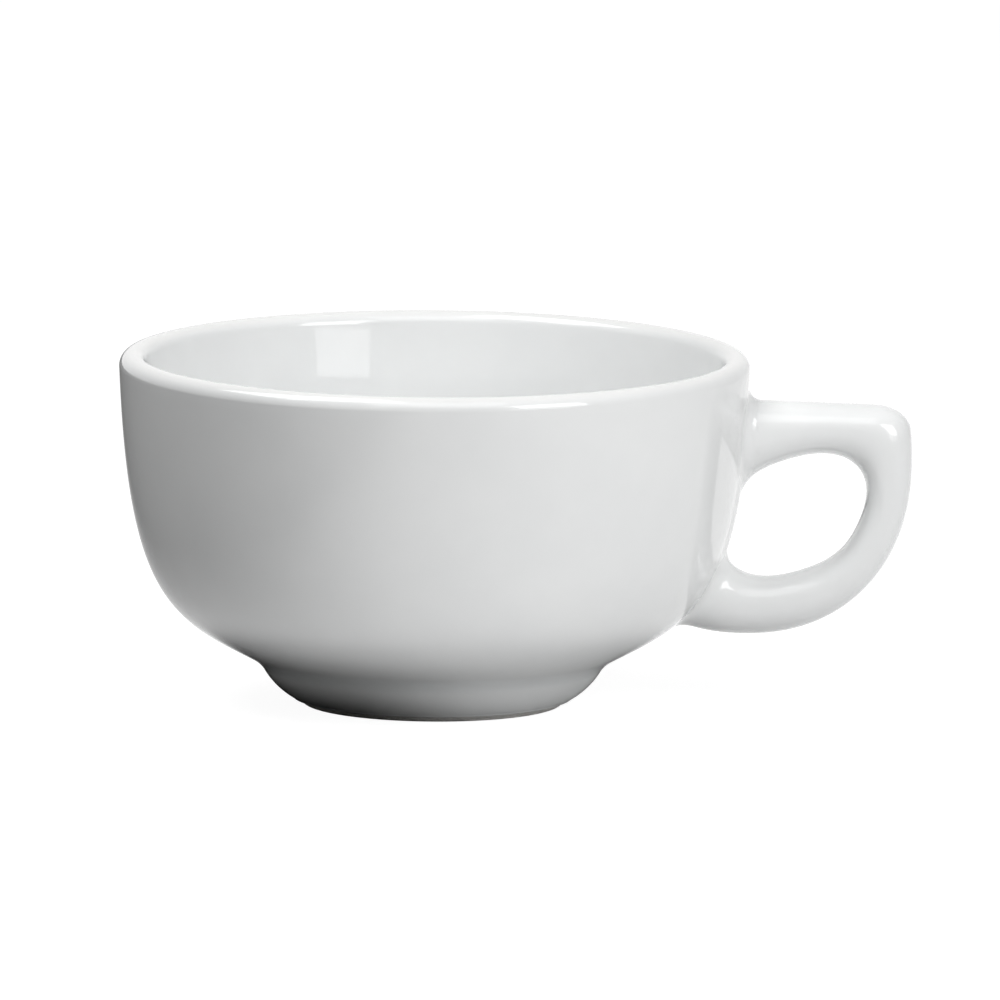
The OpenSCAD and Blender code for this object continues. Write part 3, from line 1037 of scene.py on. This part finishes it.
    def _meeting(self, end: End, depth: float, distance: float) -> np.ndarray:
        """Return where each line along the handle comes a given distance off the bowl.

        Args:
            end: The end of the handle.
            depth: How far inside the glaze.
            distance: The distance off the bowl.

        Returns:
            A place along the handle for each side of the section.
        """
        inside = np.full_like(self.turns, end.value)
        outside = np.full_like(self.turns, 0.5)
        for _ in range(self.search_steps):
            middle = (inside + outside) / 2
            under = self._clearance(self.point(middle, self.turns, depth), depth) < distance
            inside, outside = np.where(under, middle, inside), np.where(under, outside, middle)
        return (inside + outside) / 2

    def _fillet_at(self, depth: float) -> float:
        """Return the fillet's radius at a depth: a hollow curve is wider under its coat."""
        return self.fillet_r + depth

    def handle_rings(self, depth: float) -> np.ndarray:
        """Return rings along the handle between its two joints, a given depth inside the glaze."""
        fillet = self._fillet_at(depth)
        first = self._meeting(End.UPPER, depth, fillet)
        last = self._meeting(End.LOWER, depth, fillet)
        share = np.linspace(0.0, 1.0, self.rings)[:, None]
        u = first + (last - first) * share
        return self.point(u, np.broadcast_to(self.turns, u.shape), depth)

    def _free_fillet_ring(self, end: End, depth: float, share: float, run: float = 0.0) -> np.ndarray:
        """Return a ring of the fillet.

        Args:
            end: The end of the handle.
            depth: How far inside the glaze.
            share: 0 on the handle and 1 on the bowl.
            run: How far past that place the ring lies, along the bowl.

        Returns:
            One point for each side of the section.
        """
        quarter = math.pi / 2 * share
        distance = self._fillet_at(depth) * (1 - math.sin(quarter))
        spread = self._fillet_at(depth) * (1 - math.cos(quarter)) + run
        p = self.point(self._meeting(end, depth, distance), self.turns, depth)
        turn = np.arctan2(p[:, 1], p[:, 0])
        lean = self.bowl.lean_at(p[:, 2])
        up = np.stack([np.sin(lean) * np.cos(turn), np.sin(lean) * np.sin(turn), np.cos(lean)], axis=1)
        along = np.stack([-np.sin(turn), np.cos(turn), np.zeros_like(turn)], axis=1)
        side = 1.0 if end is End.UPPER else -1.0
        way = side * np.cos(self.turns)[:, None] * up + np.sin(self.turns)[:, None] * along
        return self._settled(p + spread * way, depth, distance)

    def fillet_rings(self, end: End, depth: float) -> np.ndarray:
        """Return the rings of one fillet under the glaze, its edge straight under the glaze's."""
        edge = self._settled(self._free_fillet_ring(end, 0.0, 1.0), depth, 0.0)
        shift = edge - self._free_fillet_ring(end, depth, 1.0)
        shares = np.linspace(0.0, 1.0, self.fillet_steps)
        return np.stack([self._free_fillet_ring(end, depth, s) + shift * s for s in shares])

    def _feathered_rings(self, end: End) -> np.ndarray:
        """Return the rings of one fillet's glaze, which thins out over the bowl and dips under its coat."""
        shares = np.linspace(0.0, 1.0, self.fillet_steps)
        rings = [self._free_fillet_ring(end, 0.0, s) for s in shares]
        rings[-1] = self._settled(rings[-1], 0.0, self.feather_h)
        for share in np.linspace(0.0, 1.0, self.feather_steps)[1:]:
            ring = self._free_fillet_ring(end, 0.0, 1.0, self.feather_w * share)
            rings.append(self._settled(ring, 0.0, self.feather_h * (1 - self.feather_dip * share)))
        return np.stack(rings)

    def _cap_rings(self, ring: np.ndarray, depth: float, distance: float) -> np.ndarray:
        """Return rings that close an end to the bowl's own curve, from the middle out."""
        middle = self._settled(ring.mean(axis=0), depth, distance)
        shares = np.linspace(0.0, 1.0, self.cap_steps)[:-1]
        return np.stack([self._settled(middle + (ring - middle) * s, depth, distance) for s in shares])

    def build(self, glaze: bpy.types.Material, clay: bpy.types.Material, slip: bpy.types.Material) -> None:
        """Make the handle's four pieces and the ridge.

        Args:
            glaze: The glaze.
            clay: The clay under it.
            slip: The slip in the joints.
        """
        coat = self.bowl.foot.coat
        fillet = self._fillet_at(coat)
        rings = self.handle_rings(coat)
        first = self._cap_rings(rings[0], coat, fillet)
        last = self._cap_rings(rings[-1], coat, fillet)[::-1]
        mesh = self._loft(np.concatenate([first, rings, last]), False, clay)
        finish_piece(mesh, "handle_clay", "handle")
        for end, name in ((End.UPPER, "upper_slip_joint"), (End.LOWER, "lower_slip_joint")):
            rings = self.fillet_rings(end, coat)
            first = self._cap_rings(rings[0], coat, fillet)
            last = self._cap_rings(rings[-1], coat, 0.0)[::-1]
            mesh = self._loft(np.concatenate([first, rings, last]), False, slip)
            finish_piece(mesh, name + "_slip", name)
        outside = self._skin(0.0, self._feathered_rings(End.UPPER), self._feathered_rings(End.LOWER))
        inside = self._skin(coat, self.fillet_rings(End.UPPER, coat), self.fillet_rings(End.LOWER, coat))
        mesh = self._loft(np.concatenate([outside, inside[::-1]]), True, glaze)
        finish_piece(mesh, "handle_glaze_coat", "handle_glaze", self.coat_sharp_deg)
        mesh = self._loft(self._ridge_rings(), False, glaze)
        finish_piece(mesh, "slip_ridge_glaze", None)

    def _ridge_rings(self) -> np.ndarray:
        """Return level rings of the low ridge that closes the finger hole along the bowl's wall."""
        low, high = self.ridge_z
        across = np.linspace(-1.0, 1.0, self.ridge_columns)
        shoulder = 1 - ease((np.abs(across) - self.ridge_flat_share) / (1 - self.ridge_flat_share))
        y = across * self.ridge_half_w
        rings = []
        for z in np.linspace(low, high, self.ridge_rows):
            rise = ease((z - low) / self.ridge_fade) * ease((high - z) / self.ridge_fade)
            wall = float(self.bowl.outside_r(np.array([z]), 0.0)[0])
            front = wall + self.ridge_h * rise * shoulder - self.ridge_sink
            behind = np.full_like(front, wall - self.ridge_back)
            r = np.concatenate([front, behind[::-1]])
            side = np.concatenate([y, y[::-1]])
            rings.append(np.stack([np.sqrt(r**2 - side**2), side, np.full_like(r, z)], axis=1))
        first = np.broadcast_to(rings[0].mean(axis=0), rings[0].shape)
        last = np.broadcast_to(rings[-1].mean(axis=0), rings[-1].shape)
        return np.stack([first, *rings, last])

    def _skin(self, depth: float, upper: np.ndarray, lower: np.ndarray) -> np.ndarray:
        """Return the rings of the handle, a given depth inside the glaze, between those of its fillets."""
        return np.concatenate([upper[::-1], self.handle_rings(depth)[1:-1], lower])

    @staticmethod
    def _loft(rings: np.ndarray, closed: bool, finish: bpy.types.Material) -> bpy.types.Mesh:
        """Join rings of points into a mesh.

        Args:
            rings: The rings in order, each with the same number of points.
            closed: Whether the last ring joins the first.
            finish: The material.

        Returns:
            The mesh.
        """
        count, sides = rings.shape[:2]
        faces = []
        for k in range(count if closed else count - 1):
            a, b = k * sides, ((k + 1) % count) * sides
            for i in range(sides):
                j = (i + 1) % sides
                faces.append((a + i, a + j, b + j, b + i))
        mesh = bpy.data.meshes.new("loft")
        mesh.from_pydata([tuple(map(float, p)) for p in rings.reshape(-1, 3)], [], faces)
        mesh.materials.append(finish)
        return mesh


# Studio


@dataclass
class SoftBox:
    """A soft lamp that points at the cup."""

    name: str
    azimuth_deg: float
    elevation_deg: float
    distance: float
    width: float
    height: float
    power: float

    def build(self, target: Vector) -> None:
        """Place the lamp.

        Args:
            target: The point that it faces.
        """
        data = bpy.data.lights.new(self.name, "AREA")
        data.shape = "RECTANGLE"
        data.size, data.size_y = self.width, self.height
        data.energy = self.power
        lamp = bpy.data.objects.new(self.name, data)
        a, e = math.radians(self.azimuth_deg), math.radians(self.elevation_deg)
        out = Vector((math.sin(a) * math.cos(e), -math.cos(a) * math.cos(e), math.sin(e)))
        lamp.location = target + out * self.distance
        lamp.rotation_mode = "QUATERNION"
        lamp.rotation_quaternion = (-out).to_track_quat("-Z", "Y")
        bpy.context.scene.collection.objects.link(lamp)
        LOG.info("lamp %s", self.name)


def lamps_of_the_set() -> list[SoftBox]:
    """Return the lamps: wide ones above the front and the left, a key at the right and a low strip."""
    return [
        SoftBox("front_box", 0.0, 58.0, 1.2, 0.8, 0.8, 3.4),
        SoftBox("left_box", -88.0, 65.0, 1.1, 0.7, 0.7, 7.9),
        SoftBox("key_box", 45.0, 30.0, 1.1, 0.5, 0.5, 4.9),
        SoftBox("low_strip", 39.0, 11.0, 1.1, 0.45, 0.16, 0.5),
    ]


@dataclass
class Studio:
    """The pale table, the soft light and the camera at the photograph's view."""

    elevation: float = math.radians(8.5)
    roll: float = math.radians(0.42)
    px_per_m: float = 6185.0
    base_px: Span = (433.7, 702.8)
    lens_mm: float = 1500.0
    sensor_mm: float = 36.0
    clip: Span = (0.1, 50.0)
    table_side: float = 12.0
    lamp_aim_z: float = 30.0 * MM
    world_grey: float = 0.04
    lamps: list[SoftBox] = field(default_factory=lamps_of_the_set)

    def build(self, floor: PaleFloor) -> None:
        """Set up the camera, the table, the world and the lamps.

        Args:
            floor: The table's finish.
        """
        bpy.context.scene.view_settings.view_transform = "Standard"
        self._camera()
        self._table(floor)
        self._world()
        target = Vector((0.0, 0.0, self.lamp_aim_z))
        for lamp in self.lamps:
            lamp.build(target)

    def _camera(self) -> None:
        """Place the camera so that the cup's base falls where it does in the photograph."""
        middle = PHOTO_SIDE_PX / 2
        right = (middle - self.base_px[0]) / self.px_per_m
        up = (self.base_px[1] - middle) / self.px_per_m
        target = Vector((right, 0.0, up / math.cos(self.elevation)))
        back = Vector((0.0, -math.cos(self.elevation), math.sin(self.elevation)))
        width = PHOTO_SIDE_PX / self.px_per_m
        distance = width * self.lens_mm / self.sensor_mm
        data = bpy.data.cameras.new("camera")
        data.lens, data.sensor_width = self.lens_mm, self.sensor_mm
        data.clip_start, data.clip_end = self.clip
        camera = bpy.data.objects.new("camera", data)
        camera.location = target + back * distance
        camera.rotation_mode = "QUATERNION"
        turned = (-back).to_track_quat("-Z", "Y").to_matrix() @ Matrix.Rotation(self.roll, 3, "Z")
        camera.rotation_quaternion = turned.to_quaternion()
        bpy.context.scene.collection.objects.link(camera)
        bpy.context.scene.camera = camera

    def _table(self, floor: PaleFloor) -> None:
        """Lay the table, a plain sheet under the foot."""
        half = self.table_side / 2
        corners = [(-half, -half, 0.0), (half, -half, 0.0), (half, half, 0.0), (-half, half, 0.0)]
        mesh = bpy.data.meshes.new("table")
        mesh.from_pydata(corners, [], [(0, 1, 2, 3)])
        mesh.materials.append(floor.make())
        table = bpy.data.objects.new("table", mesh)
        bpy.context.scene.collection.objects.link(table)

    def _world(self) -> None:
        """Make the room: plain grey as light, white to the eye and in reflections."""
        world = bpy.data.worlds.new("room")
        bpy.context.scene.world = world
        tree = Shader(world)
        camera, glossy, through = tree.rays()
        seen = camera.most(glossy).most(through)
        tone = seen * (1 - self.world_grey) + self.world_grey
        room = tree.node("Background", Color=tree.grey(tone), Strength=1.0)
        tree.out(room.outputs[0])


def main() -> None:
    """Build the cup and the studio in order."""
    logging.basicConfig(level=logging.INFO, format="%(name)s: %(message)s")
    pinhole = (7.2 * MM, -26.5 * MM, 6.6 * MM)
    turned = WhiteGlaze("turned_glaze", ring_height=0.004 * MM, pinhole=pinhole).make()
    cast = WhiteGlaze("cast_glaze").make()
    bare = FiredClay("bare_foot_clay", rubbed_share=0.8).make()
    clay = FiredClay("clay_body").make()
    slip = FiredClay("joint_slip", colour=(0.76, 0.75, 0.72)).make()
    wheel = Wheel()
    foot = Foot()
    bowl = Bowl(foot)
    foot.build(wheel, turned, bare)
    bowl.build(wheel, turned, clay)
    Handle(bowl).build(cast, clay, slip)
    Studio().build(PaleFloor())


if __name__ == "__main__":
    main()
